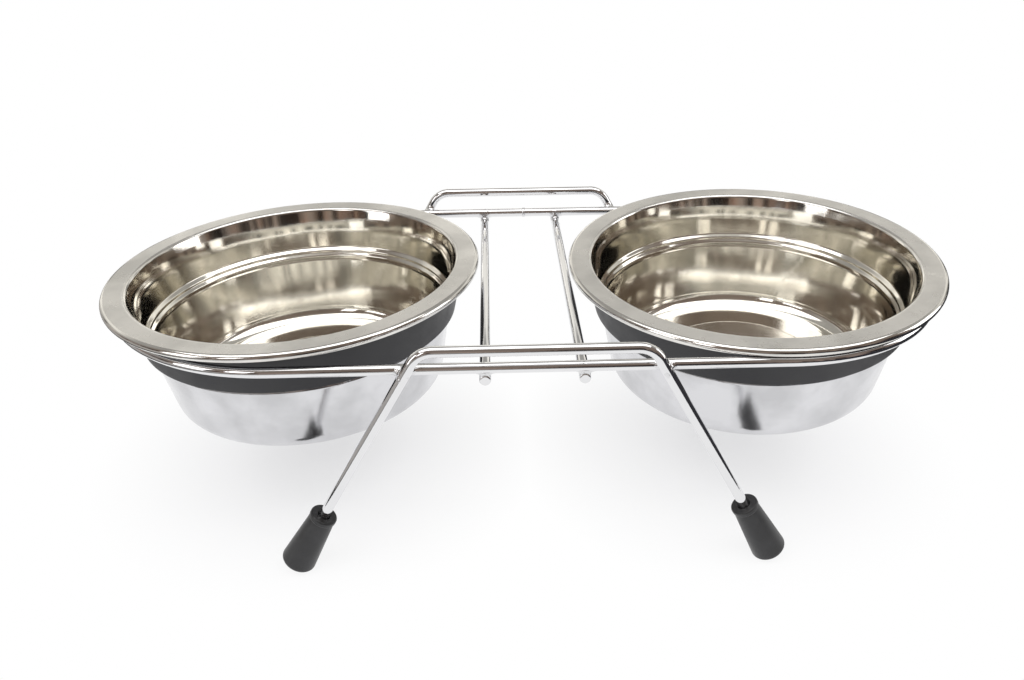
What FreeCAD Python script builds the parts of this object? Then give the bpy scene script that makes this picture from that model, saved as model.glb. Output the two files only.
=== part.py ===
import FreeCAD, Part
import math
import os

os.makedirs("parts", exist_ok=True)

# A raised double diner: a chromed wire frame on four rubber feet holds two steel bowls.
# Sizes are in millimetres and angles in degrees. X runs along the stand, Y from front
# to back, Z up. The origin lies on the floor, under the middle of the frame.

# Wire frame
wire_diameter = 4.5
bowl_gap = 42.0             # between the rims of the two bowls
loop_radius = 83.0          # centre line of the loop wire, round its ends
loop_inset = 3.7            # middles of the loop's round ends, inwards of the bowls' middles
loop_shift = -1.0           # middle of the loop, to the right of the middle between the legs
loop_height = 95.2          # centre line of the loop wire above the floor
crossbar_spacing = 39.0     # between the centre lines of the two crossbars
weld_gap = 0.2              # between two wires where they cross
weld_radius = 3.4
rod_end_round = 0.5         # broken edge at a crossbar's cut ends
seam_offset = 2.0           # from the middle of the rear straight to the loop's butt weld
seam_gap = 0.6
seam_flash = 0.35           # how far the butt weld stands proud of the wire
seam_length = 1.8

# Leg wires
leg_angle = 29.4            # between a leg and the vertical
leg_crossing = 50.6         # from the middle of the stand to where a leg crosses the loop
top_bar_rise = 10.3         # top bar above the loop, between centre lines
leg_bend_radius = 10.0

# Rubber feet
foot_length = 29.2
foot_top_radius = 5.45
foot_bottom_radius = 7.6
foot_edge_radius = 1.8
foot_flat_depth = 0.5       # worn off where the slanting foot meets the floor
foot_lip_height = 2.4
foot_lip_width = 0.35
foot_lip_round = 0.35
socket_depth = 22.0
socket_clearance = 0.1
socket_chamfer = 0.7
socket_end_gap = 0.3

# Bowl, pressed from one sheet. Depths run down from the flat of the rim.
sheet = 0.8
roll_radius = 1.8
roll_offset = 0.2           # rolled edge's centre, outwards from the loop wire's centre line
roll_end_angle = 158.0      # where the rolled edge stops under the rim
rim_width = 8.9             # from the rolled edge's centre to the mouth
lip_radius = 1.8
wall_draft = 3.4            # how much the upper wall narrows on its way down
bead_top_depth = 19.3
bead_corner_round = 1.0
bead_step = 2.9             # how far the bead stands in from the upper wall
nose_top_depth = 22.0
nose_top_round = 2.2
nose_bottom_depth = 26.3
nose_bottom_round = 1.2
wall_step = 0.3             # how far the lower wall steps out again below the bead
wall_top_depth = 27.4
wall_top_round = 0.6
wall_angle = 10.3           # between the lower wall and the vertical
bowl_depth = 59.5
base_corner_round = 8.0
disc_radius = 39.5
disc_rise = 0.8
disc_slope_width = 1.4
disc_round = 1.2

# Rubber band round the outside of each bowl
band_clearance = 0.15
band_top_width = 2.7
band_bottom_width = 0.5
band_bottom_depth = 24.6
band_edge_round = 0.5

# How the loose bowls lie on the frame, the left one first
seat_clearance = {-1: 0.9, 1: 0.3}      # between a rolled edge and the wire
tilt_back = {-1: -0.5, 1: 1.7}          # raises the rear of a bowl
tilt_right = {-1: 1.8, 1: 1.9}          # raises its right side
shift_back = {-1: -1.5, 1: -1.5}

wire_radius = wire_diameter / 2
crossing_step = wire_diameter + weld_gap
leg_slant = math.radians(leg_angle)
leg_plane = loop_radius + crossing_step

roll_circle = loop_radius + roll_offset
rim_radius = roll_circle + roll_radius
half_spacing = rim_radius + bowl_gap / 2
mouth_radius = roll_circle - rim_width
bead_top_radius = mouth_radius - wall_draft
nose_radius = bead_top_radius - bead_step
wall_top_radius = nose_radius + wall_step
band_seat = sheet + band_clearance
band_top_radius = mouth_radius + band_seat + band_top_width
band_bottom_radius = bead_top_radius + band_seat + band_bottom_width

middle = FreeCAD.Vector(0, 0, 0)
to_right = FreeCAD.Vector(1, 0, 0)
to_rear = FreeCAD.Vector(0, 1, 0)
up = FreeCAD.Vector(0, 0, 1)


def flat_point(radius, height):
    return FreeCAD.Vector(radius, 0, height)


def line(start, end):
    return Part.LineSegment(start, end).toShape()


def arc(start, middle_point, end):
    return Part.Arc(start, middle_point, end).toShape()


def outline(points):
    """Straight edges from point to point."""
    return [line(start, end) for start, end in zip(points, points[1:])]


def rounded_path(points, radii):
    """Straight runs through the points, joined by tangent arcs of the given radii."""
    edges = []
    start = points[0]
    for before, corner, after, radius in zip(points, points[1:], points[2:], radii):
        back = (before - corner).normalize()
        ahead = (after - corner).normalize()
        half = back.getAngle(ahead) / 2
        reach = radius / math.tan(half)
        centre = corner + (back + ahead).normalize() * (radius / math.sin(half))
        inside = centre + (corner - centre).normalize() * radius
        edges.append(line(start, corner + back * reach))
        edges.append(arc(corner + back * reach, inside, corner + ahead * reach))
        start = corner + ahead * reach
    edges.append(line(start, points[-1]))
    return edges


def bent_rod(edges):
    """A round wire along a tangent chain of edges."""
    start = edges[0].valueAt(edges[0].FirstParameter)
    heading = edges[0].tangentAt(edges[0].FirstParameter)
    section = Part.Wire(Part.Circle(start, heading, wire_radius).toShape())
    return Part.Wire(edges).makePipeShell([section], True, False)


def turned(face):
    """The solid that a face in the XZ plane makes round the Z axis."""
    return face.revolve(middle, up, 360)


def loop_wire():
    """One rod bent into a long loop, with its ends at the seam in the rear straight."""
    def place(x, y):
        return FreeCAD.Vector(x, y, loop_height)

    bend = half_spacing - loop_inset
    left, right = loop_shift - bend, loop_shift + bend
    edges = [
        line(place(seam_offset + seam_gap / 2, loop_radius), place(right, loop_radius)),
        arc(place(right, loop_radius), place(right + loop_radius, 0), place(right, -loop_radius)),
        line(place(right, -loop_radius), place(left, -loop_radius)),
        arc(place(left, -loop_radius), place(left - loop_radius, 0), place(left, loop_radius)),
        line(place(left, loop_radius), place(seam_offset - seam_gap / 2, loop_radius)),
    ]
    return bent_rod(edges)


def seam_weld(loop):
    """The barrel-shaped butt weld that closes the loop."""
    half = seam_length / 2
    flank = [flat_point(wire_radius, -half), flat_point(wire_radius, half)]
    edges = outline([flank[1], flat_point(0, half), flat_point(0, -half), flank[0]])
    edges.append(arc(flank[0], flat_point(wire_radius + seam_flash, 0), flank[1]))
    barrel = turned(Part.Face(Part.Wire(edges)))
    barrel.rotate(middle, to_rear, 90)
    barrel.translate(FreeCAD.Vector(seam_offset, loop_radius, loop_height))
    return barrel.cut(loop)


def crossbar(side):
    """A straight rod under the loop, its cut ends flush with the outside of the loop."""
    length = 2 * (loop_radius + wire_radius)
    start = FreeCAD.Vector(side * crossbar_spacing / 2, -length / 2, loop_height - crossing_step)
    rod = Part.makeCylinder(wire_radius, length, start, to_rear)
    rims = [edge for edge in rod.Edges if edge.Closed]
    return rod.makeFillet(rod_end_round, rims)


def foot_end():
    """Middle of a foot's bottom face, seen in the plane of the right-hand leg."""
    ring = foot_bottom_radius - foot_edge_radius
    drop = ring * math.sin(leg_slant) + foot_edge_radius * (1 - math.cos(leg_slant))
    height = drop - foot_flat_depth
    return flat_point(leg_crossing + (loop_height - height) * math.tan(leg_slant), height)


def leg_wire(face):
    """A rod bent into a leg, a top bar and a leg, all in one upright plane."""
    upwards = flat_point(-math.sin(leg_slant), math.cos(leg_slant))
    end = foot_end() + upwards * (foot_length - socket_depth + socket_end_gap)
    inset = top_bar_rise * math.tan(leg_slant)
    shoulder = flat_point(leg_crossing - inset, loop_height + top_bar_rise)
    right = [end, shoulder]
    left = [flat_point(-point.x, point.z) for point in reversed(right)]
    points = [point + to_rear * (face * leg_plane) for point in right + left]
    return bent_rod(rounded_path(points, [leg_bend_radius, leg_bend_radius]))


def foot_section():
    """Half section of an upright foot, with its bottom face at height zero."""
    lip = foot_top_radius + foot_lip_width
    neck = foot_length - foot_lip_height
    bore = wire_radius + socket_clearance
    bore_end = foot_length - socket_depth
    mouth = flat_point(bore + socket_chamfer, foot_length)
    skin = [
        flat_point(0, 0),
        flat_point(foot_bottom_radius, 0),
        flat_point(foot_top_radius, neck),
        flat_point(lip, neck + foot_lip_width),
        flat_point(lip, foot_length),
        mouth,
    ]
    rounds = [foot_edge_radius, foot_lip_round, foot_lip_round, 2 * foot_lip_round]
    socket = [
        mouth,
        flat_point(bore, foot_length - socket_chamfer),
        flat_point(bore, bore_end),
        flat_point(0, bore_end),
        flat_point(0, 0),
    ]
    return Part.Face(Part.Wire(rounded_path(skin, rounds) + outline(socket)))


def foot(side, face):
    """A tapered rubber sleeve on the end of a leg, flat where it meets the floor."""
    sleeve = turned(foot_section())
    sleeve.rotate(middle, to_rear, -side * leg_angle)
    end = foot_end()
    sleeve.translate(FreeCAD.Vector(side * end.x, face * leg_plane, end.z))
    size = 2 * foot_length
    corner = FreeCAD.Vector(side * end.x - size / 2, face * leg_plane - size / 2, -size)
    return sleeve.cut(Part.makeBox(size, size, size, corner))


def weld(place, wires):
    """Metal that has flowed into the corners between two crossing wires."""
    nugget = Part.makeSphere(weld_radius, place)
    return nugget.cut(wires[0]).cut(wires[1])


def rim_roll():
    """The rolled edge, from its end under the rim to the flat of the rim."""
    centre = flat_point(roll_circle, -roll_radius)
    end = math.radians(roll_end_angle - 360)
    top = math.radians(90)
    angles = [end, (end + top) / 2, top]
    points = [centre + flat_point(math.cos(a), math.sin(a)) * roll_radius for a in angles]
    return [arc(*points)]


def wall():
    """The upper face of the sheet, from the rim's flat to the middle of the base."""
    wall_run = (bowl_depth - wall_top_depth) * math.tan(math.radians(wall_angle))
    disc_level = disc_rise - bowl_depth
    corners = [
        (mouth_radius, 0, lip_radius),
        (bead_top_radius, -bead_top_depth, bead_corner_round),
        (nose_radius, -nose_top_depth, nose_top_round),
        (nose_radius, -nose_bottom_depth, nose_bottom_round),
        (wall_top_radius, -wall_top_depth, wall_top_round),
        (wall_top_radius - wall_run, -bowl_depth, base_corner_round),
        (disc_radius + disc_slope_width, -bowl_depth, disc_round),
        (disc_radius, disc_level, disc_round),
    ]
    points = [flat_point(radius, height) for radius, height, _ in corners]
    radii = [rounding for _, _, rounding in corners]
    return rounded_path([flat_point(roll_circle, 0)] + points + [flat_point(0, disc_level)], radii)


def bowl():
    """The pressed bowl, upright, with the flat of its rim at height zero."""
    path = Part.Wire(rim_roll() + wall())
    return turned(path.makeOffset2D(sheet, 0, True, True))


def band():
    """A rubber band that fills the wedge under the rim and hooks into the bead."""
    inner = Part.Wire(wall()).makeOffset2D(band_seat, 0, False, True)
    ends = [vertex.Point for vertex in inner.OrderedVertexes]
    rim_side, axis_side = ends[0], ends[-1]
    closing = outline([axis_side, middle, flat_point(rim_side.x, 0), rim_side])
    within_bowl = Part.Face(Part.Wire(inner.Edges + closing))
    skin = [
        flat_point(0, -band_seat),
        flat_point(band_top_radius, -band_seat),
        flat_point(band_bottom_radius, -band_bottom_depth),
        flat_point(0, -band_bottom_depth),
    ]
    closing = outline([skin[-1], skin[0]])
    block = Part.Face(Part.Wire(rounded_path(skin, [band_edge_round, band_edge_round]) + closing))
    return turned(block.cut(within_bowl))


def lean(side):
    """How a bowl lies, as a turn about the middle of its rim."""
    return FreeCAD.Rotation(to_rear, -tilt_right[side]) * FreeCAD.Rotation(to_right, tilt_back[side])


def rim_height(side):
    """Height of a bowl's rim above the loop when the rolled edge rests on the wire."""
    reach = roll_radius + wire_radius + seat_clearance[side]
    heights = []
    for angle in range(360):
        turn = math.radians(angle)
        upright = flat_point(roll_circle * math.cos(turn), -roll_radius)
        point = lean(side) * (upright + to_rear * (roll_circle * math.sin(turn)))
        outwards = max(side * point.x + loop_inset, 0)
        aside = abs(math.hypot(outwards, point.y + shift_back[side]) - loop_radius)
        if aside < reach:
            heights.append(math.sqrt(reach ** 2 - aside ** 2) - point.z)
    return max(heights)


def seated(shape, side):
    """An upright piece of a bowl, leant and set down on the loop."""
    across = loop_shift + side * half_spacing
    place = FreeCAD.Vector(across, shift_back[side], loop_height + rim_height(side))
    return shape.transformed(FreeCAD.Placement(place, lean(side)).toMatrix())


def leg_welds(loop, legs):
    """The four welds between the legs and the loop's straights."""
    nuggets = []
    for face, wire in legs.items():
        for side in (-1, 1):
            across = face * (loop_radius + crossing_step / 2)
            nuggets.append(weld(FreeCAD.Vector(side * leg_crossing, across, loop_height), [loop, wire]))
    return Part.makeCompound(nuggets)


def crossbar_welds(loop, crossbars):
    """The four welds between the crossbars and the loop's straights."""
    nuggets = []
    for side, wire in crossbars.items():
        for face in (-1, 1):
            across = side * crossbar_spacing / 2
            level = loop_height - crossing_step / 2
            nuggets.append(weld(FreeCAD.Vector(across, face * loop_radius, level), [loop, wire]))
    return Part.makeCompound(nuggets)


def all_pieces():
    """Each piece's name and shape."""
    loop = loop_wire()
    crossbars = {side: crossbar(side) for side in (-1, 1)}
    legs = {face: leg_wire(face) for face in (-1, 1)}
    pieces = {
        "loop_wire": loop,
        "loop_seam_weld": seam_weld(loop),
        "left_crossbar": crossbars[-1],
        "right_crossbar": crossbars[1],
        "crossbar_welds": crossbar_welds(loop, crossbars),
        "front_leg_wire": legs[-1],
        "rear_leg_wire": legs[1],
        "leg_welds": leg_welds(loop, legs),
    }
    upright_bowl = bowl()
    upright_band = band()
    for side, side_name in ((-1, "left"), (1, "right")):
        for face, face_name in ((-1, "front"), (1, "rear")):
            pieces[f"{face_name}_{side_name}_foot"] = foot(side, face)
        pieces[f"{side_name}_bowl"] = seated(upright_bowl, side)
        pieces[f"{side_name}_band"] = seated(upright_band, side)
    return pieces


for name, shape in all_pieces().items():
    print(name, "valid", shape.isValid(), "solids", len(shape.Solids), "volume", round(shape.Volume, 1))
    shape.exportStep(f"parts/{name}.step")
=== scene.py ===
import bpy
import bmesh
import math
from mathutils import Matrix, Vector, noise


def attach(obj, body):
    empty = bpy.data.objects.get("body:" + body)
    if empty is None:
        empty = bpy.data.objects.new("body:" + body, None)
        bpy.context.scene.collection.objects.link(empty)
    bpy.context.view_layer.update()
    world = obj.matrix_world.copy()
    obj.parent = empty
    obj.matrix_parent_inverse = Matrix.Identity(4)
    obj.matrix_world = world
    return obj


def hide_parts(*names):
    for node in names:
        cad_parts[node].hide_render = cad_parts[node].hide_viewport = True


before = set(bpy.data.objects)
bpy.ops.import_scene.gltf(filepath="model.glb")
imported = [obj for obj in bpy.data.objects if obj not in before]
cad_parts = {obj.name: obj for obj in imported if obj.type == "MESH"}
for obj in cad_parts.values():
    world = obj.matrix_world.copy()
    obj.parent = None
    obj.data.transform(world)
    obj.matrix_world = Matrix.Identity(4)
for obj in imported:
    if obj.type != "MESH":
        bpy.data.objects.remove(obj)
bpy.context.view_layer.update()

# A raised double diner: two steel bowls with rubber bands in a chromed wire frame.
# Everything is in metres, in the frame's own axes: X along the stand, Y to the rear, Z up.

scene = bpy.context.scene
scene.view_settings.view_transform = "Standard"

# Camera, at the photograph's viewing angle
camera = {
    "place": (-0.01553, -0.37006, 0.26887),
    "turn": 1.327,      # degrees to the right of straight ahead
    "pitch": 29.363,    # degrees down
    "roll": -0.594,
    "lens": 30.38,
    "sensor": 36.0,
    "clip": (0.01, 100.0),
}


def makeCamera(spec):
    turn, pitch, roll = (math.radians(spec[key]) for key in ("turn", "pitch", "roll"))
    flat = math.cos(pitch)
    ahead = Vector((math.sin(turn) * flat, math.cos(turn) * flat, -math.sin(pitch)))
    level = Vector((math.cos(turn), -math.sin(turn), 0))
    above = level.cross(ahead)
    right = level * math.cos(roll) + above * math.sin(roll)
    upwards = above * math.cos(roll) - level * math.sin(roll)
    data = bpy.data.cameras.new("photoView")
    data.lens = spec["lens"]
    data.sensor_width = spec["sensor"]
    data.clip_start, data.clip_end = spec["clip"]
    view = bpy.data.objects.new("photoView", data)
    scene.collection.objects.link(view)
    axes = Matrix((right, upwards, -ahead)).transposed().to_4x4()
    view.matrix_world = Matrix.Translation(spec["place"]) @ axes
    scene.camera = view


makeCamera(camera)
print("camera placed")


# Nodes are added with their inputs: a socket makes a link, anything else a plain value.
def addNode(tree, kind, inputs=None, **settings):
    node = tree.nodes.new(kind)
    for key, value in settings.items():
        setattr(node, key, value)
    for key, value in (inputs or {}).items():
        if isinstance(value, bpy.types.NodeSocket):
            tree.links.new(value, node.inputs[key])
        else:
            node.inputs[key].default_value = value
    return node


def calculate(tree, operation, *values):
    node = addNode(tree, "ShaderNodeMath", dict(enumerate(values)), operation=operation)
    return node.outputs[0]


def calculateVector(tree, operation, *values, output="Vector"):
    node = addNode(tree, "ShaderNodeVectorMath", dict(enumerate(values)), operation=operation)
    return node.outputs[output]


def joinedParts(tree, **parts):
    return addNode(tree, "ShaderNodeCombineXYZ", parts).outputs[0]


def partsOf(tree, vector):
    return addNode(tree, "ShaderNodeSeparateXYZ", {0: vector}).outputs


def readAttribute(tree, name):
    inputs = {"Name": name}
    return addNode(tree, "GeometryNodeInputNamedAttribute", inputs, data_type="FLOAT").outputs[0]


def storeAttribute(tree, geometry, name, value, kind="FLOAT", domain="POINT"):
    inputs = {"Geometry": geometry, "Name": name, "Value": value}
    settings = {"data_type": kind, "domain": domain}
    return addNode(tree, "GeometryNodeStoreNamedAttribute", inputs, **settings).outputs[0]


def newTree(name, sockets):
    tree = bpy.data.node_groups.new(name, "GeometryNodeTree")
    tree.interface.new_socket("Geometry", in_out="INPUT", socket_type="NodeSocketGeometry")
    for label, kind in sockets.items():
        tree.interface.new_socket(label, in_out="INPUT", socket_type=kind)
    tree.interface.new_socket("Geometry", in_out="OUTPUT", socket_type="NodeSocketGeometry")
    return tree, addNode(tree, "NodeGroupInput").outputs


def endTree(tree, geometry, given):
    smooth = addNode(tree, "GeometryNodeSetShadeSmooth", {"Geometry": geometry})
    real = addNode(tree, "GeometryNodeRealizeInstances", {"Geometry": smooth.outputs[0]})
    inputs = {"Geometry": real.outputs[0], "Material": given["Material"]}
    painted = addNode(tree, "GeometryNodeSetMaterial", inputs)
    addNode(tree, "NodeGroupOutput", {"Geometry": painted.outputs[0]})


joinDistance = {"seam": 1e-6, "doubles": 1e-7}


# Turns a section, drawn in the XZ plane from point to point, round the Z axis.
def makeTurningTree():
    sockets = {"Segments": "NodeSocketInt", "Material": "NodeSocketMaterial"}
    tree, given = newTree("turnedSection", sockets)
    section = given["Geometry"]
    inputs = {"Geometry": section}
    size = addNode(tree, "GeometryNodeAttributeDomainSize", inputs, component="MESH")
    count = size.outputs["Point Count"]
    columns = calculate(tree, "ADD", given["Segments"], 1)
    grid = addNode(tree, "GeometryNodeMeshGrid", {"Vertices X": columns, "Vertices Y": count})
    index = addNode(tree, "GeometryNodeInputIndex").outputs[0]
    place = calculate(tree, "FLOORED_MODULO", index, count)
    column = calculate(tree, "FLOOR", calculate(tree, "DIVIDE", index, count))
    turn = calculate(tree, "DIVIDE", column, given["Segments"])
    angle = calculate(tree, "MULTIPLY", turn, 2 * math.pi)

    def sampled(value, kind="FLOAT"):
        inputs = {"Geometry": section, "Value": value, "Index": place}
        settings = {"data_type": kind, "domain": "POINT"}
        return addNode(tree, "GeometryNodeSampleIndex", inputs, **settings).outputs[0]

    position = addNode(tree, "GeometryNodeInputPosition").outputs[0]
    point = partsOf(tree, sampled(position, "FLOAT_VECTOR"))
    across = calculate(tree, "MULTIPLY", point["X"], calculate(tree, "COSINE", angle))
    along = calculate(tree, "MULTIPLY", point["X"], calculate(tree, "SINE", angle))
    spot = joinedParts(tree, X=across, Y=along, Z=point["Z"])
    inputs = {"Geometry": grid.outputs["Mesh"], "Position": spot}
    shape = addNode(tree, "GeometryNodeSetPosition", inputs).outputs[0]
    for name in ("satin", "inside"):
        shape = storeAttribute(tree, shape, name, sampled(readAttribute(tree, name)))
    flat = joinedParts(tree, X=turn, Y=sampled(readAttribute(tree, "run")))
    shape = storeAttribute(tree, shape, "UVMap", flat, "FLOAT2", "CORNER")
    inputs = {"Geometry": shape, "Distance": joinDistance["seam"]}
    shape = addNode(tree, "GeometryNodeMergeByDistance", inputs).outputs[0]
    endTree(tree, shape, given)
    return tree


# Draws a round wire along a path. The path's thickness narrows it where an end is rounded.
def makeWireTree():
    sockets = {"Radius": "NodeSocketFloat", "Sides": "NodeSocketInt",
               "Material": "NodeSocketMaterial"}
    tree, given = newTree("drawnWire", sockets)
    path = addNode(tree, "GeometryNodeMeshToCurve", {"Mesh": given["Geometry"]}).outputs[0]
    thickness = readAttribute(tree, "thickness")
    inputs = {"Curve": path, "Radius": thickness}
    path = addNode(tree, "GeometryNodeSetCurveRadius", inputs).outputs[0]
    inputs = {"Resolution": given["Sides"], "Radius": given["Radius"]}
    ring = addNode(tree, "GeometryNodeCurvePrimitiveCircle", inputs).outputs[0]
    inputs = {"Curve": path, "Profile Curve": ring, "Fill Caps": True}
    swept = addNode(tree, "GeometryNodeCurveToMesh", inputs)
    if "Scale" in swept.inputs:
        tree.links.new(thickness, swept.inputs["Scale"])
    endTree(tree, swept.outputs[0], given)
    return tree


def throughTree(name, source, tree, values):
    holder = bpy.data.objects.new(name + "Source", source)
    scene.collection.objects.link(holder)
    modifier = holder.modifiers.new(tree.name, "NODES")
    modifier.node_group = tree
    for item in tree.interface.items_tree:
        if item.item_type == "SOCKET" and item.in_out == "INPUT" and item.name in values:
            modifier[item.identifier] = values[item.name]
    made = holder.evaluated_get(bpy.context.evaluated_depsgraph_get())
    mesh = bpy.data.meshes.new_from_object(made)
    bpy.data.objects.remove(holder)
    bpy.data.meshes.remove(source)
    mesh.name = name
    return mesh


# Leaves a closed shell: no doubles, no loose edges, faces pointing outwards.
def cleanUp(mesh):
    work = bmesh.new()
    work.from_mesh(mesh)
    bmesh.ops.remove_doubles(work, verts=work.verts, dist=joinDistance["doubles"])
    bmesh.ops.dissolve_degenerate(work, edges=work.edges, dist=joinDistance["doubles"])
    loose = [edge for edge in work.edges if not edge.link_faces]
    bmesh.ops.delete(work, geom=loose, context="EDGES")
    loose = [vertex for vertex in work.verts if not vertex.link_faces]
    bmesh.ops.delete(work, geom=loose, context="VERTS")
    bmesh.ops.recalc_face_normals(work, faces=work.faces)
    for face in work.faces:
        face.smooth = True
    work.to_mesh(mesh)
    work.free()


def cutBelow(work, height):
    everything = work.verts[:] + work.edges[:] + work.faces[:]
    return bmesh.ops.bisect_plane(work, geom=everything, plane_co=(0, 0, height),
                                  plane_no=(0, 0, -1), clear_outer=True)


def asPiece(mesh, body, slot, *nodes):
    piece = bpy.data.objects.new(mesh.name, mesh)
    scene.collection.objects.link(piece)
    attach(piece, body)
    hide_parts(*nodes)
    return piece


def polyLine(name, points, closed=False, **values):
    mesh = bpy.data.meshes.new(name)
    edges = [(i, i + 1) for i in range(len(points) - 1)]
    if closed:
        edges.append((len(points) - 1, 0))
    mesh.from_pydata([tuple(point) for point in points], edges, [])
    for label, rows in values.items():
        layer = mesh.attributes.new(label, "FLOAT", "POINT")
        layer.data.foreach_set("value", rows)
    return mesh


# Points along straight runs joined by tangent arcs, each with its outward side and its place
# in the row of runs: 2 on the third run, 2.5 halfway round the corner after it.
def roundedLine(corners, roundings, arcStep=7.0, spacing=0.004):
    rows = []
    shortest = 1e-9
    support = 0.00025   # keeps the shading of a flat run flat right up to its corner

    def addRun(start, end, run):
        length = (end - start).length
        if length < shortest:
            return
        heading = (end - start) / length
        side = Vector((-heading.y, heading.x))
        stops = [0.0, length]
        if length > 4 * support:
            between = length - 2 * support
            inner = max(1, math.ceil(between / spacing))
            stops[1:1] = [support + between * i / inner for i in range(inner + 1)]
        for stop in stops:
            rows.append((start + heading * stop, side, run))

    start = corners[0]
    for number, rounding in enumerate(roundings):
        before, corner, after = corners[number:number + 3]
        back = (before - corner).normalized()
        ahead = (after - corner).normalized()
        half = back.angle(ahead) / 2
        reach = rounding / math.tan(half)
        centre = corner + (back + ahead).normalized() * (rounding / math.sin(half))
        first, last = corner + back * reach, corner + ahead * reach
        addRun(start, first, number)
        heading = -back
        side = Vector((-heading.y, heading.x))
        inwards = 1 if side.dot(centre - first) > 0 else -1
        sweep = (first - centre).angle_signed(last - centre)
        steps = max(2, math.ceil(math.degrees(abs(sweep)) / arcStep))
        for i in range(1, steps):
            spoke = first - centre
            spoke.rotate(Matrix.Rotation(-sweep * i / steps, 2))
            rows.append((centre + spoke, -inwards * spoke.normalized(), number + i / steps))
        start = last
    addRun(start, corners[-1], len(roundings))
    return rows


turningTree = makeTurningTree()
wireTree = makeWireTree()
print("node trees built")

# Finishes
chromeFinish = {
    "colour": (0.82, 0.82, 0.83, 1),
    "dullest": 0.93,            # share of the colour left in the dullest patches
    "roughness": (0.035, 0.085),
    "patches": 160.0,           # noise scale of the roughness
    "ripple": 420.0,            # noise scale of the plating's waviness
    "rippleDepth": 0.00002,
}
weldFinish = {
    "colour": (0.76, 0.76, 0.77, 1),
    "dullest": 0.93,
    "roughness": (0.08, 0.2),
    "patches": 500.0,
    "ripple": 1400.0,
    "rippleDepth": 0.00012,
}
steelFinish = {
    # Inside: a paler, warm copy of the same steel, painted warm reflected light.
    "inside": (0.85, 0.825, 0.765, 1),
    # Outside: a darker copy of the same steel, painted shade from the shadowed floor below the
    # bowl.
    "outside": (0.72, 0.72, 0.74, 1),
    "dullest": 0.8,
    "mottle": 45.0,             # noise scale of the dull patches
    "mottleEdges": (0.35, 0.62),
    "roughness": (0.05, 0.3),   # polished and satin
    "patches": 60.0,            # noise scale of the roughness
    "patchSpread": 0.3,         # how far patches and brushing change the roughness
    "brushSpread": 0.6,
    "anisotropy": 0.6,
    "brushTurn": 0.25,          # brushed round the bowl, a quarter turn from its section
    "lines": 1600.0,            # brushed lines per metre, across the brushing
    "lineRing": 3.0,            # how soon a line changes on its way round
    "lineDepth": 0.00003,
    "polishedLines": 0.1,       # share of that depth left where the steel is polished
    "waves": 38.0,              # noise scale of the sheet's faint unevenness
    "waveDepth": 0.0002,
}
bandFinish = {
    "colour": (0.013, 0.013, 0.0155, 1),
    "bloom": (0.024, 0.024, 0.028, 1),      # paler, dusty patches
    "roughness": (0.4, 0.56),
    "patches": 90.0,
    "bloomEdges": (0.35, 0.75),
    "grain": 2600.0,            # noise scale of the rubber's surface
    "grainDepth": 0.00003,
    "ior": 1.5,
}
footFinish = {
    "colour": (0.015, 0.015, 0.016, 1),
    "bloom": (0.03, 0.03, 0.032, 1),
    "roughness": (0.3, 0.46),
    "patches": 120.0,
    "bloomEdges": (0.35, 0.75),
    "grain": 2200.0,
    "grainDepth": 0.00004,
    "ior": 1.5,
}


def newMaterial(name):
    material = bpy.data.materials.new(name)
    material.use_nodes = True
    tree = material.node_tree
    shader = tree.nodes["Principled BSDF"]
    place = addNode(tree, "ShaderNodeTexCoord").outputs["Object"]
    return material, tree, shader, place


def noiseAt(tree, place, scale, detail=3.0):
    inputs = {"Vector": place, "Scale": scale, "Detail": detail}
    return addNode(tree, "ShaderNodeTexNoise", inputs).outputs["Fac"]


def mapped(tree, value, low, high, fromLow=0.3, fromHigh=0.7):
    inputs = {"Value": value, "From Min": fromLow, "From Max": fromHigh,
              "To Min": low, "To Max": high}
    return addNode(tree, "ShaderNodeMapRange", inputs).outputs[0]


def bumped(tree, height, depth, under=None):
    inputs = {"Height": height, "Distance": depth, "Strength": 1.0}
    if under:
        inputs["Normal"] = under
    return addNode(tree, "ShaderNodeBump", inputs).outputs[0]


def mixColour(tree, factor, first, second):
    inputs = {0: factor, 6: first, 7: second}
    return addNode(tree, "ShaderNodeMix", inputs, data_type="RGBA").outputs[2]


def platedMaterial(name, finish):
    material, tree, shader, place = newMaterial(name)
    shader.inputs["Metallic"].default_value = 1.0
    patches = noiseAt(tree, place, finish["patches"])
    tree.links.new(mapped(tree, patches, *finish["roughness"]), shader.inputs["Roughness"])
    dull = tuple(finish["dullest"] * part for part in finish["colour"][:3]) + (1,)
    colour = mixColour(tree, patches, dull, finish["colour"])
    tree.links.new(colour, shader.inputs["Base Color"])
    ripple = noiseAt(tree, place, finish["ripple"], detail=2.0)
    tree.links.new(bumped(tree, ripple, finish["rippleDepth"]), shader.inputs["Normal"])
    return material


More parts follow.
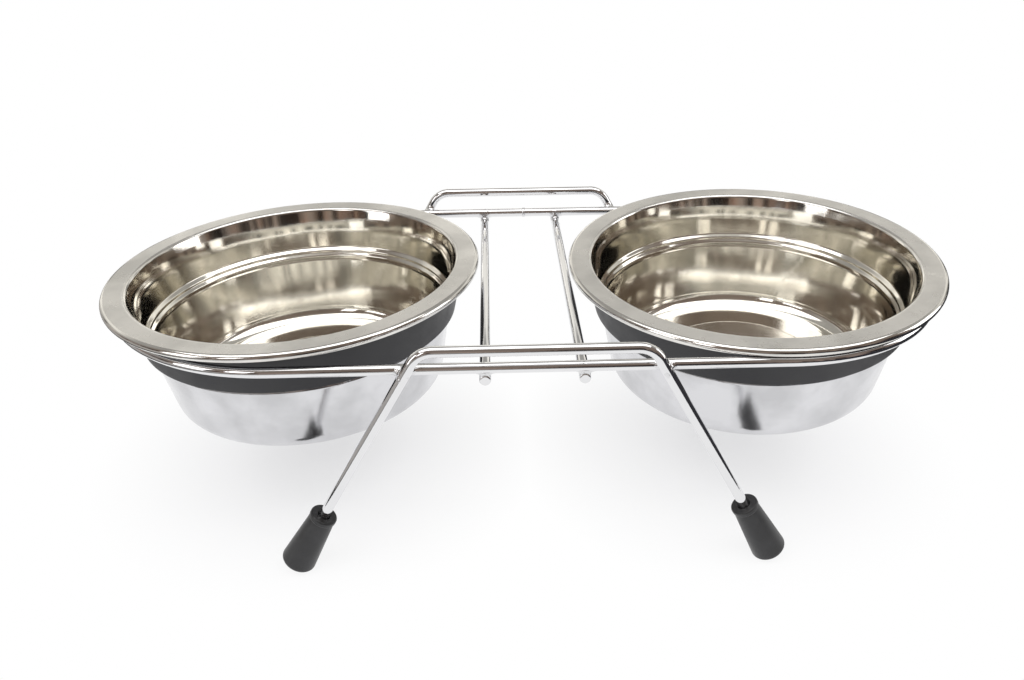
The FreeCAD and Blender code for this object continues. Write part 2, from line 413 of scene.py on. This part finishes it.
def steelMaterial(name, finish):
    material, tree, shader, place = newMaterial(name)
    shader.inputs["Metallic"].default_value = 1.0
    shader.inputs["Anisotropic"].default_value = finish["anisotropy"]
    shader.inputs["Anisotropic Rotation"].default_value = finish["brushTurn"]
    settings = {"direction_type": "UV_MAP", "uv_map": "UVMap"}
    tangent = addNode(tree, "ShaderNodeTangent", **settings).outputs[0]
    tree.links.new(tangent, shader.inputs["Tangent"])
    flat = partsOf(tree, addNode(tree, "ShaderNodeUVMap", uv_map="UVMap").outputs[0])
    satin = addNode(tree, "ShaderNodeAttribute", attribute_name="satin").outputs["Fac"]

    # Brushed lines run round the bowl, so their noise is read on a ring.
    angle = calculate(tree, "MULTIPLY", flat["X"], 2 * math.pi)
    cosine, sine = (calculate(tree, word, angle) for word in ("COSINE", "SINE"))
    ring = [calculate(tree, "MULTIPLY", part, finish["lineRing"]) for part in (cosine, sine)]
    rows = calculate(tree, "MULTIPLY", flat["Y"], finish["lines"])
    brushing = noiseAt(tree, joinedParts(tree, X=ring[0], Y=ring[1], Z=rows), 1.0, detail=4.0)
    patches = noiseAt(tree, place, finish["patches"], detail=4.0)

    def changed(noise, spread):
        return calculate(tree, "MULTIPLY", calculate(tree, "SUBTRACT", noise, 0.5), spread)

    low, high = finish["roughness"]
    rough = calculate(tree, "MULTIPLY_ADD", satin, high - low, low)
    share = calculate(tree, "ADD", changed(brushing, finish["brushSpread"]),
                      changed(patches, finish["patchSpread"]))
    share = calculate(tree, "ADD", share, 1.0)
    tree.links.new(calculate(tree, "MULTIPLY", rough, share), shader.inputs["Roughness"])

    # The inside share mixes painted warm reflection (inside) with painted shade (outside).
    inside = addNode(tree, "ShaderNodeAttribute", attribute_name="inside").outputs["Fac"]
    colour = mixColour(tree, inside, finish["outside"], finish["inside"])
    dull = mixColour(tree, 1.0 - finish["dullest"], colour, (0, 0, 0, 1))
    mottle = noiseAt(tree, place, finish["mottle"], detail=5.0)
    mottle = mapped(tree, mottle, 0.0, 1.0, *finish["mottleEdges"])
    tree.links.new(mixColour(tree, mottle, dull, colour), shader.inputs["Base Color"])

    waves = noiseAt(tree, place, finish["waves"], detail=1.0)
    gentle = bumped(tree, waves, finish["waveDepth"])
    depth = calculate(tree, "ADD", satin, finish["polishedLines"])
    lines = calculate(tree, "MULTIPLY", brushing, depth)
    tree.links.new(bumped(tree, lines, finish["lineDepth"], gentle), shader.inputs["Normal"])
    return material


def rubberMaterial(name, finish):
    material, tree, shader, place = newMaterial(name)
    patches = noiseAt(tree, place, finish["patches"], detail=4.0)
    bloom = mapped(tree, patches, 0.0, 1.0, *finish["bloomEdges"])
    colour = mixColour(tree, bloom, finish["colour"], finish["bloom"])
    tree.links.new(colour, shader.inputs["Base Color"])
    tree.links.new(mapped(tree, patches, *finish["roughness"]), shader.inputs["Roughness"])
    grain = noiseAt(tree, place, finish["grain"], detail=2.0)
    tree.links.new(bumped(tree, grain, finish["grainDepth"]), shader.inputs["Normal"])
    shader.inputs["IOR"].default_value = finish["ior"]
    return material


chromePlate = platedMaterial("chromePlate", chromeFinish)
platedWeld = platedMaterial("platedWeld", weldFinish)
bowlSteel = steelMaterial("bowlSteel", steelFinish)
bandRubber = rubberMaterial("bandRubber", bandFinish)
footRubber = rubberMaterial("footRubber", footFinish)
print("finishes made")

# Wire frame
wires = {
    "radius": 0.00225,
    "sides": 40,
    "loopRadius": 0.083,
    "loopHeight": 0.0952,
    "halfSpacing": 0.106,
    "inset": 0.0037,        # middles of the loop's round ends, inwards of the bowls' middles
    "shift": -0.001,        # the loop's middle, to the right of the middle between the legs
    "seamPlace": 0.002,
    "crossbarSpacing": 0.039,
    "crossingStep": 0.0047, # between the middles of two wires where they cross
    "endRound": 0.0005,
    "legAngle": 29.4,       # between a leg and the vertical
    "legCrossing": 0.0506,  # from the middle of the stand to where a leg crosses the loop
    "topBarRise": 0.0103,   # of a leg wire's top bar above the loop
    "legBend": 0.010,
    "legEndHeight": 0.0105,
    "loopSteps": 72,        # in each half circle
    "bendStep": 4.0,        # degrees between points in a leg wire's bends
    "straightStep": 0.03,
}
legPlane = wires["loopRadius"] + wires["crossingStep"]
legSlant = math.radians(wires["legAngle"])


def loopPath(spec):
    radius, height = spec["loopRadius"], spec["loopHeight"]
    half = spec["halfSpacing"] - spec["inset"]
    steps = spec["loopSteps"]
    points = []
    for side, start in ((1, 90), (-1, 270)):
        for step in range(steps + 1):
            angle = math.radians(start - 180 * step / steps)
            across = spec["shift"] + side * half + radius * math.cos(angle)
            points.append(Vector((across, radius * math.sin(angle), height)))
    seam = Vector((spec["seamPlace"], radius, height))
    return [seam] + points


def rodPath(start, end, rounding, radius):
    # Each end narrows along a quarter circle.
    length = (end - start).length
    near = [rounding * (1 - math.cos(math.radians(angle))) for angle in (0, 30, 60, 90)]
    places = near + [length * share for share in (0.25, 0.5, 0.75)]
    places += [length - place for place in reversed(near)]
    points = [start + (end - start) * place / length for place in places]
    shares = []
    for place in places:
        inset = max(0.0, rounding - min(place, length - place))
        shares.append(1 - (rounding - math.sqrt(max(rounding ** 2 - inset ** 2, 0))) / radius)
    return points, shares


def legPath(spec, face):
    def place(height):
        return spec["legCrossing"] + (spec["loopHeight"] - height) * math.tan(legSlant)

    top = spec["loopHeight"] + spec["topBarRise"]
    half = [Vector((place(height), height)) for height in (spec["legEndHeight"], top)]
    corners = half + [Vector((-point.x, point.y)) for point in reversed(half)]
    bends = [spec["legBend"]] * 2
    rows = roundedLine(corners, bends, spec["bendStep"], spec["straightStep"])
    return [Vector((point.x, face * legPlane, point.y)) for point, _, _ in rows]


def addWire(name, points, closed=False, shares=None):
    path = polyLine(name, points, closed, thickness=shares or [1.0] * len(points))
    values = {"Radius": wires["radius"], "Sides": wires["sides"], "Material": chromePlate}
    mesh = throughTree(name, path, wireTree, values)
    cleanUp(mesh)
    return asPiece(mesh, "stand", "chromed_wire", name)


addWire("loop_wire", loopPath(wires), closed=True)
for side, word in ((-1, "left"), (1, "right")):
    across = side * wires["crossbarSpacing"] / 2
    reach = wires["loopRadius"] + wires["radius"]
    level = wires["loopHeight"] - wires["crossingStep"]
    ends = [Vector((across, face * reach, level)) for face in (-1, 1)]
    rod, shares = rodPath(*ends, wires["endRound"], wires["radius"])
    addWire(word + "_crossbar", rod, shares=shares)
for face, word in ((-1, "front"), (1, "rear")):
    addWire(word + "_leg_wire", legPath(wires, face))
print("wires drawn")

# Welds
welds = {
    "reach": 0.0052,        # a nugget ends inside the wires at this distance from its middle
    "blend": 0.0024,        # how widely the metal has flowed between two wires
    "swell": 0.00016,
    "taper": 1.6,           # how soon the swelling fades towards a nugget's end
    "lumps": 0.05,          # share of its radius, with the scale of their noise
    "lumpScale": 2.2,
    "lumpShift": 3.7,       # between the noise of one nugget and the next
    "steps": 40,            # outwards along a ray to the first that is past the metal
    "halvings": 10,         # of that last step
    "wireShare": 0.98,      # of the reach, past which a point lies inside a wire
    "endInset": 0.0004,     # how far a crossbar's nugget stays behind the cut end
    "seamLength": 0.0018,
    "seamFlash": 0.00035,
    "seamRoundness": 0.7,
    "seamDepth": 0.0004,    # how deep in the wire the seam's section reaches
    "seamSink": 0.00003,    # how far its edges dip into the wire
    "seamSteps": 12,
}


def nugget(middle, headings, offsets, seed):
    ball = bmesh.new()
    bmesh.ops.create_icosphere(ball, subdivisions=5, radius=1.0)

    def height(point):
        gaps = []
        for heading, offset in zip(headings, offsets):
            arm = point - offset
            gaps.append((arm - heading * arm.dot(heading)).length - wires["radius"])
        share = max(welds["blend"] - abs(gaps[0] - gaps[1]), 0) / welds["blend"]
        joined = min(gaps) - share * share * welds["blend"] / 4
        away = point.length / welds["reach"]
        return joined - welds["swell"] * (1 - welds["taper"] * away * away)

    shift = Vector((seed * welds["lumpShift"], 0, 0))
    for vertex in ball.verts:
        ray = vertex.co.normalized()
        lumps = 1 + welds["lumps"] * noise.noise(ray * welds["lumpScale"] + shift)
        near, far = 0.0, welds["reach"]
        for step in range(1, welds["steps"] + 1):
            distance = welds["reach"] * step / welds["steps"]
            if height(ray * distance) > 0:
                far = distance
                break
            near = distance
        for _ in range(welds["halvings"]):
            half = (near + far) / 2
            if height(ray * half) > 0:
                far = half
            else:
                near = half
        inWire = near >= welds["wireShare"] * welds["reach"]
        vertex.co = middle + ray * near * (1.0 if inWire else lumps)
    return ball


# No nugget reaches further to the front or the rear than its widest place.
def addWelds(name, spots, widest=1.0):
    joined = bmesh.new()
    for number, (middle, headings, offsets) in enumerate(spots):
        ball = nugget(middle, headings, offsets, number + 1)
        for vertex in ball.verts:
            vertex.co.y = min(max(vertex.co.y, -widest), widest)
        part = bpy.data.meshes.new("nugget")
        ball.to_mesh(part)
        ball.free()
        joined.from_mesh(part)
        bpy.data.meshes.remove(part)
    mesh = bpy.data.meshes.new(name)
    joined.to_mesh(mesh)
    joined.free()
    mesh.materials.append(platedWeld)
    cleanUp(mesh)
    return asPiece(mesh, "stand", "chromed_weld", name)


halfStep = wires["crossingStep"] / 2
alongX, alongY, alongZ = Vector((1, 0, 0)), Vector((0, 1, 0)), Vector((0, 0, 1))
legSpots, barSpots = [], []
for face in (-1, 1):
    for side in (-1, 1):
        depth = face * (wires["loopRadius"] + halfStep)
        middle = Vector((side * wires["legCrossing"], depth, wires["loopHeight"]))
        downLeg = Vector((side * math.sin(legSlant), 0, -math.cos(legSlant)))
        apart = [alongY * (-face * halfStep), alongY * (face * halfStep)]
        legSpots.append((middle, [alongX, downLeg], apart))
        across, height = side * wires["crossbarSpacing"] / 2, wires["loopHeight"] - halfStep
        middle = Vector((across, face * wires["loopRadius"], height))
        apart = [alongZ * halfStep, alongZ * -halfStep]
        barSpots.append((middle, [alongX, alongY], apart))
addWelds("leg_welds", legSpots)
cutEnd = wires["loopRadius"] + wires["radius"]
addWelds("crossbar_welds", barSpots, cutEnd - welds["endInset"])


# A section is its points with two shares for each: how satin it is, and how much inside.
def plainSection(points):
    return points, [0.0] * len(points), [0.0] * len(points)


def turnedPiece(name, section, segments, material, place):
    points, satins, insides = section
    runs = [0.0]
    for before, after in zip(points, points[1:]):
        runs.append(runs[-1] + (after - before).length)
    places = [(point.x, 0, point.y) for point in points]
    source = polyLine(name, places, satin=satins, inside=insides, run=runs)
    mesh = throughTree(name, source, turningTree, {"Segments": segments, "Material": material})
    mesh.transform(place)
    cleanUp(mesh)
    return mesh


def seamSection(spec):
    half, inner = spec["seamLength"] / 2, wires["radius"] - spec["seamDepth"]
    points = [Vector((inner, -half))]
    for step in range(spec["seamSteps"] + 1):
        share = 2 * step / spec["seamSteps"] - 1
        bulge = spec["seamFlash"] * (1 - share * share) ** spec["seamRoundness"]
        points.append(Vector((wires["radius"] - spec["seamSink"] + bulge, half * share)))
    points.append(Vector((inner, half)))
    points.append(points[0].copy())
    return points


seamSpot = Matrix.Translation((wires["seamPlace"], wires["loopRadius"], wires["loopHeight"]))
seamSpot = seamSpot @ Matrix.Rotation(math.radians(90), 4, "Y")
seam = plainSection(seamSection(welds))
mesh = turnedPiece("loop_seam_weld", seam, wires["sides"], platedWeld, seamSpot)
asPiece(mesh, "stand", "chromed_weld", "loop_seam_weld")
print("welds made")

# Rubber feet
foot = {
    "length": 0.0292,
    "topRadius": 0.00545,
    "bottomRadius": 0.0076,
    "edgeRound": 0.0018,
    "flatDepth": 0.0005,
    "lipHeight": 0.0024,
    "lipWidth": 0.00035,
    "lipRound": 0.00035,
    "bore": 0.00232,
    "boreDepth": 0.006,
    "mouthBevel": 0.0007,
    "boreRounds": [0.0002, 0.0001, 0.0001],
    "arcStep": 12.0,
    "segments": 72,
}


def footEnd(spec):
    ring = spec["bottomRadius"] - spec["edgeRound"]
    drop = ring * math.sin(legSlant) + spec["edgeRound"] * (1 - math.cos(legSlant))
    height = drop - spec["flatDepth"]
    return wires["legCrossing"] + (wires["loopHeight"] - height) * math.tan(legSlant), height


def footSection(spec):
    lip = spec["topRadius"] + spec["lipWidth"]
    neck = spec["length"] - spec["lipHeight"]
    boreEnd = spec["length"] - spec["boreDepth"]
    corners = [(0, 0), (spec["bottomRadius"], 0), (spec["topRadius"], neck)]
    corners += [(lip, neck + spec["lipWidth"]), (lip, spec["length"])]
    corners += [(spec["bore"] + spec["mouthBevel"], spec["length"])]
    corners += [(spec["bore"], spec["length"] - spec["mouthBevel"])]
    corners += [(spec["bore"], boreEnd), (0, boreEnd)]
    rounds = [spec["edgeRound"], spec["lipRound"], spec["lipRound"], 2 * spec["lipRound"]]
    rounds += spec["boreRounds"]
    rows = roundedLine([Vector(corner) for corner in corners], rounds, spec["arcStep"])
    return [point for point, _, _ in rows]


def addFoot(name, side, face, spec):
    across, height = footEnd(spec)
    place = Matrix.Translation((side * across, face * legPlane, height))
    place = place @ Matrix.Rotation(-side * legSlant, 4, "Y")
    section = plainSection(footSection(spec))
    mesh = turnedPiece(name, section, spec["segments"], footRubber, place)
    work = bmesh.new()
    work.from_mesh(mesh)
    cut = cutBelow(work, 0)     # the worn flat, level with the floor
    rim = [item for item in cut["geom_cut"] if isinstance(item, bmesh.types.BMEdge)]
    sole = bmesh.ops.edgeloop_fill(work, edges=rim)
    for piece in sole["faces"]:
        piece.smooth = False
    work.to_mesh(mesh)
    work.free()
    return asPiece(mesh, "stand", "foot_rubber", name)


for side, sideWord in ((-1, "left"), (1, "right")):
    for face, faceWord in ((-1, "front"), (1, "rear")):
        addFoot(f"{faceWord}_{sideWord}_foot", side, face, foot)
print("feet made")

# Bowls, pressed from one sheet. Depths run down from the flat of the rim.
bowl = {
    "sheet": 0.0008,
    "rollRadius": 0.0018,
    "rollCircle": 0.0832,
    "rollEnd": 158,         # degrees round the roll to the sheet's hidden edge
    "mouthRadius": 0.0743,
    "lipRadius": 0.0018,
    "corners": [            # below the mouth: radius, depth, rounding
        (0.07215, 0.0088, 0.0600),
        (0.0708, 0.0207, 0.0012),   # a ledge in two steps, down to the bead
        (0.0693, 0.0223, 0.0010),
        (0.0692, 0.0233, 0.0005),
        (0.0680, 0.0247, 0.0010),
        (0.0680, 0.0264, 0.0010),
        (0.0683, 0.0274, 0.0006),
        (0.062466, 0.0595, 0.0080),
        (0.0409, 0.0595, 0.0012),
        (0.0395, 0.0587, 0.0012),
    ],
    # How satin each run is, from the rim to the middle
    "satinInside": [1.0, 0.12, 0.12, 0.1, 0.1, 0.1, 0.12, 0.1, 0.12, 0.16, 0.35, 0.5],
    "satinOutside": [0.6, 0.4, 0.4, 0.4, 0.4, 0.4, 0.4, 0.4, 0.4, 0.5, 0.5, 0.5],
    "satinRoll": 0.12,
    "rimWarmReflection": 0.6,         # how much of the inside's painted warm reflection reaches the rim
    "rollSteps": 42,
    "segments": 216,
}
seats = {
    "left": {"side": -1, "tiltBack": -0.5, "tiltRight": 1.8, "back": -0.0015, "clearance": 0.0009},
    "right": {"side": 1, "tiltBack": 1.7, "tiltRight": 1.9, "back": -0.0015, "clearance": 0.0003},
}


def wallRows(spec):
    corners = [Vector((spec["rollCircle"], 0)), Vector((spec["mouthRadius"], 0))]
    corners += [Vector((radius, -depth)) for radius, depth, _ in spec["corners"]]
    corners.append(Vector((0, -spec["corners"][-1][1])))
    return roundedLine(corners, [spec["lipRadius"]] + [row[2] for row in spec["corners"]])


def finishAt(shares, run):
    whole = min(int(run), len(shares) - 2)
    part = min(max(run - whole, 0.0), 1.0)
    part = part * part * (3 - 2 * part)
    return shares[whole] * (1 - part) + shares[whole + 1] * part


def bowlSection(spec):
    rows = wallRows(spec)
    centre = Vector((spec["rollCircle"], -spec["rollRadius"]))
    roll = []
    turn = 450 - spec["rollEnd"]    # on past a full turn, to the top of the roll
    for step in range(spec["rollSteps"]):
        angle = math.radians(spec["rollEnd"] - 360 + turn * step / spec["rollSteps"])
        spoke = Vector((math.cos(angle), math.sin(angle)))
        roll.append((centre + spoke * spec["rollRadius"], -spoke, -1))
    rows = roll + rows
    points, satins, insides = [], [], []
    for point, side, run in rows:
        points.append(point)
        satins.append(spec["satinRoll"] if run < 0 else finishAt(spec["satinInside"], run))
        # Shares of the painted warm reflection: full inside, part on the rim, none outside.
        insides.append(spec["rimWarmReflection"] if run < 1 else 1.0)
    for point, side, run in reversed(rows):
        under = point + side * spec["sheet"]
        points.append(Vector((max(under.x, 0.0), under.y)))
        satins.append(spec["satinRoll"] if run < 0 else finishAt(spec["satinOutside"], run))
        insides.append(0.0)
    points.append(points[0].copy())
    satins.append(satins[0])
    insides.append(insides[0])
    return points, satins, insides


def lean(seat):
    tilt = Matrix.Rotation(math.radians(-seat["tiltRight"]), 4, "Y")
    return tilt @ Matrix.Rotation(math.radians(seat["tiltBack"]), 4, "X")


# Height of a bowl's rim above the loop, with its rolled edge just clear of the wire
def rimHeight(seat):
    reach = bowl["rollRadius"] + wires["radius"] + seat["clearance"]
    heights = []
    for step in range(360):
        turn = math.radians(step)
        edge = Vector((math.cos(turn), math.sin(turn), 0)) * bowl["rollCircle"]
        point = lean(seat) @ (edge - alongZ * bowl["rollRadius"])
        outwards = max(seat["side"] * point.x + wires["inset"], 0)
        aside = abs(math.hypot(outwards, point.y + seat["back"]) - wires["loopRadius"])
        if aside < reach:
            heights.append(math.sqrt(reach ** 2 - aside ** 2) - point.z)
    return max(heights)


def seatPlace(seat):
    across = wires["shift"] + seat["side"] * wires["halfSpacing"]
    place = Vector((across, seat["back"], wires["loopHeight"] + rimHeight(seat)))
    return Matrix.Translation(place) @ lean(seat)


section = bowlSection(bowl)
for word in ("left", "right"):
    place = seatPlace(seats[word])
    mesh = turnedPiece(word + "_bowl", section, bowl["segments"], bowlSteel, place)
    asPiece(mesh, word + "_bowl_body", "bowl_steel", word + "_bowl")
print("bowls made")

# Rubber bands, in the wedge under each rim
band = {
    "seat": 0.00095,        # from the bowl's inner face to the band, through the sheet
    "topRadius": 0.07795,
    "bottomRadius": 0.07235,
    "bottomDepth": 0.0246,
    "topLand": 0.0006,      # least width of its top
    "hookLand": 0.0001,     # least height of its hook's tip
    "edgeRound": 0.0005,
    "arcStep": 12.0,
    "segments": 216,
}


def bandSection(spec):
    widest = spec["topRadius"] - spec["topLand"]
    lowest = spec["hookLand"] - spec["bottomDepth"]
    inner = [point + side * spec["seat"] for point, side, _ in wallRows(bowl)]
    inner = [point for point in inner if point.x < widest and point.y > lowest]
    top = Vector((spec["topRadius"], -spec["seat"]))
    bottom = Vector((spec["bottomRadius"], -spec["bottomDepth"]))
    ends = [inner[0], Vector((inner[-1].x, bottom.y))]
    corners = [ends[1], bottom, top, ends[0]]
    skin = roundedLine(corners, [spec["edgeRound"]] * 2, spec["arcStep"])
    return [point for point, _, _ in skin] + inner + [ends[1].copy()]


section = plainSection(bandSection(band))
for word in ("left", "right"):
    place = seatPlace(seats[word])
    mesh = turnedPiece(word + "_band", section, band["segments"], bandRubber, place)
    asPiece(mesh, word + "_bowl_body", "band_rubber", word + "_band")
print("bands made")

# Studio
studio = {
    "floorSize": 14.0,
    "floorColour": (0.96, 0.96, 0.985, 1),
    "floorGlow": (0.5, 1.0),     # share of the floor's white that no shadow reaches, near and far
    "glowReach": (0.01, 0.115),  # from under the middle of a bowl to where each share holds
    "worldFill": 0.5,
    "lamps": [                  # name, place, size, power, turns in degrees
        ("overhead", (0.0, -0.14, 1.35), (2.4, 0.94), 14.0, (0, 0, 0)),
        ("leftWindow", (-1.47, -0.85, 0.55), (1.0, 0.55), 3.6, (0, -80, 30)),
        ("frontWindow", (-0.95, -1.35, 0.9), (0.7, 0.35), 1.7, (0, -60, 55)),
        ("rightWindow", (1.69, 0.15, 0.55), (1.0, 0.75), 4.8, (0, 80, 5)),
    ],
}
room = {                        # what the polished metal sees round the table
    "radius": 4.0,
    "front": (0.2, 0.16, 0.135, 1),
    "frontTop": (0.5, 0.48, 0.45, 1),
    "frontTopReach": (0.79, 0.88),  # sine of the angle up, from its edge to its full white
    "upperRear": (0.36, 0.35, 0.33, 1),
    "rearReach": (-0.3, 0.2),       # cosine of the angle round, from the front to the rear
    "screen": (0.92, 0.895, 0.83, 1),       # pale screen behind the table
    "screenTop": (0.46, 0.58),      # sine of the angle up to its edge
    "screenSides": (0.26, 0.55),    # cosine of the angle round to its edge
    "patches": [                # dark and warm things: shift, noise scale, edges, share, colour
        ((5.3, 1.7, 2.9), 2.6, (0.44, 0.64), 0.9, (0.02, 0.02, 0.024, 1)),
        ((1.1, 7.7, 4.3), 4.42, (0.46, 0.68), 0.8, (0.27, 0.15, 0.10, 1)),
    ],
    "patchTop": (0.05, 0.36),       # sine of the angle up at which they fade
    "folds": 6.5,                   # noise scale of the upright folds and gaps round it
    "foldEdges": (0.4, 0.6),
    "foldShares": (0.2, 1.56),      # their brightness, dark to bright
    "foldTop": (0.2, 0.42),         # sine of the angle up at which they fade
    "aboveFolds": 1.08,
}
table = {                       # dark table round the white sheet, seen only in the metal
    "sheet": (-0.26, 0.25, -0.36, 1.2),     # left, right, front, rear
    "reach": 3.5,
    "height": 0.0012,
    "left": (0.42, 0.4, 0.38, 1),
    "right": (0.035, 0.035, 0.04, 1),
    "edge": (0.03, 0.03, 0.03, 1),  # dark strip along the sheet's left edge
    "edgeWidth": (0.05, 0.09),
    "edgeInset": 0.02,
}


def viewedShare(tree):
    light = addNode(tree, "ShaderNodeLightPath").outputs
    seen = calculate(tree, "MAXIMUM", light["Is Camera Ray"], light["Is Glossy Ray"])
    return calculate(tree, "MAXIMUM", seen, light["Is Transmission Ray"])


def makeFloor(spec):
    half = spec["floorSize"] / 2
    mesh = bpy.data.meshes.new("floor")
    corners = [(-half, -half, 0), (half, -half, 0), (half, half, 0), (-half, half, 0)]
    mesh.from_pydata(corners, [], [(0, 1, 2, 3)])
    floor = bpy.data.objects.new("floor", mesh)
    scene.collection.objects.link(floor)
    material = bpy.data.materials.new("paleFloor")
    material.use_nodes = True
    tree = material.node_tree
    tree.nodes.clear()
    matte = addNode(tree, "ShaderNodeBsdfDiffuse", {"Color": spec["floorColour"]}).outputs[0]
    glow = addNode(tree, "ShaderNodeEmission", {"Color": (1, 1, 1, 1), "Strength": 1.0}).outputs[0]
    parts = partsOf(tree, addNode(tree, "ShaderNodeTexCoord").outputs["Object"])
    across = calculate(tree, "ABSOLUTE", parts["X"])
    across = calculate(tree, "SUBTRACT", across, wires["halfSpacing"])
    away = joinedParts(tree, X=across, Y=parts["Y"])
    away = calculateVector(tree, "LENGTH", away, output="Value")
    glowing = mapped(tree, away, *spec["floorGlow"], *spec["glowReach"])
    share = calculate(tree, "MULTIPLY", viewedShare(tree), glowing)
    mixed = addNode(tree, "ShaderNodeMixShader", {0: share, 1: matte, 2: glow}).outputs[0]
    addNode(tree, "ShaderNodeOutputMaterial", {"Surface": mixed})
    mesh.materials.append(material)


def glowingMaterial(name):
    material = bpy.data.materials.new(name)
    material.use_nodes = True
    tree = material.node_tree
    tree.nodes.clear()
    return material, tree, addNode(tree, "ShaderNodeTexCoord").outputs["Object"]


def addReflected(name, mesh, material, tree, colour, strength=1.0):
    light = addNode(tree, "ShaderNodeEmission", {"Color": colour, "Strength": strength})
    addNode(tree, "ShaderNodeOutputMaterial", {"Surface": light.outputs[0]})
    mesh.materials.append(material)
    thing = bpy.data.objects.new(name, mesh)
    scene.collection.objects.link(thing)
    for ray in ("camera", "diffuse", "shadow", "volume_scatter"):
        setattr(thing, "visible_" + ray, False)


# A dim room for the metal to reflect. It lights nothing and no camera sees it.
def makeRoom(spec):
    shell = bmesh.new()
    bmesh.ops.create_uvsphere(shell, u_segments=48, v_segments=24, radius=spec["radius"])
    cutBelow(shell, 0.001)      # just clear of the floor
    mesh = bpy.data.meshes.new("room")
    shell.to_mesh(mesh)
    shell.free()
    material, tree, place = glowingMaterial("roomLight")
    heading = calculateVector(tree, "NORMALIZE", place)
    parts = partsOf(tree, heading)
    flat = calculateVector(tree, "NORMALIZE", joinedParts(tree, X=parts["X"], Y=parts["Y"]))
    rearwards = partsOf(tree, flat)["Y"]
    white = mapped(tree, parts["Z"], 0.0, 1.0, *spec["frontTopReach"])
    front = mixColour(tree, white, spec["front"], spec["frontTop"])
    rear = mapped(tree, rearwards, 0.0, 1.0, *spec["rearReach"])
    colour = mixColour(tree, rear, front, spec["upperRear"])
    low = mapped(tree, parts["Z"], 1.0, 0.0, *spec["patchTop"])
    for shift, scale, edges, share, patch in spec["patches"]:
        spot = calculateVector(tree, "ADD", heading, shift)
        part = mapped(tree, noiseAt(tree, spot, scale, detail=2.0), 0.0, share, *edges)
        colour = mixColour(tree, calculate(tree, "MULTIPLY", part, low), colour, patch)
    behind = mapped(tree, rearwards, 0.0, 1.0, *spec["screenSides"])
    under = mapped(tree, parts["Z"], 1.0, 0.0, *spec["screenTop"])
    screen = calculate(tree, "MULTIPLY", behind, under)
    colour = mixColour(tree, screen, colour, spec["screen"])
    folds = noiseAt(tree, flat, spec["folds"], detail=2.0)
    folds = mapped(tree, folds, *spec["foldShares"], *spec["foldEdges"])
    fading = mapped(tree, parts["Z"], 0.0, 1.0, *spec["foldTop"])
    level = calculate(tree, "SUBTRACT", spec["aboveFolds"], folds)
    strength = calculate(tree, "ADD", folds, calculate(tree, "MULTIPLY", fading, level))
    addReflected("room", mesh, material, tree, colour, strength)


def makeTable(spec):
    left, right, front, rear = spec["sheet"]
    reach, height = spec["reach"], spec["height"]
    corners = [(-reach, -reach), (reach, -reach), (reach, reach), (-reach, reach)]
    corners += [(left, front), (right, front), (right, rear), (left, rear)]
    mesh = bpy.data.meshes.new("table")
    sides = [(i, (i + 1) % 4, (i + 1) % 4 + 4, i + 4) for i in range(4)]
    mesh.from_pydata([(x, y, height) for x, y in corners], [], sides)
    material, tree, place = glowingMaterial("tableLight")
    across = partsOf(tree, place)["X"]
    rightwards = mapped(tree, across, 0.0, 1.0, left, right)
    plain = mixColour(tree, rightwards, spec["left"], spec["right"])
    outer, inner = (left - width for width in reversed(spec["edgeWidth"]))
    strip = mapped(tree, across, 0.0, 1.0, outer, inner)
    inside = mapped(tree, across, 1.0, 0.0, left, left + spec["edgeInset"])
    strip = calculate(tree, "MULTIPLY", strip, inside)
    colour = mixColour(tree, strip, plain, spec["edge"])
    addReflected("table", mesh, material, tree, colour)


def makeWorld(spec):
    world = bpy.data.worlds.new("studio")
    scene.world = world
    world.use_nodes = True
    tree = world.node_tree
    tree.nodes.clear()
    strength = mapped(tree, viewedShare(tree), spec["worldFill"], 1.0, 0.0, 1.0)
    light = addNode(tree, "ShaderNodeBackground", {"Color": (1, 1, 1, 1), "Strength": strength})
    addNode(tree, "ShaderNodeOutputWorld", {"Surface": light.outputs[0]})


def makeLamp(name, place, size, power, turns):
    data = bpy.data.lights.new(name, "AREA")
    data.shape = "RECTANGLE"
    data.size, data.size_y = size
    data.energy = power
    lamp = bpy.data.objects.new(name, data)
    lamp.location = place
    lamp.rotation_euler = [math.radians(turn) for turn in turns]
    lamp.visible_camera = False
    scene.collection.objects.link(lamp)


makeFloor(studio)
makeRoom(room)
makeTable(table)
makeWorld(studio)
for row in studio["lamps"]:
    makeLamp(*row)
print("studio lit")
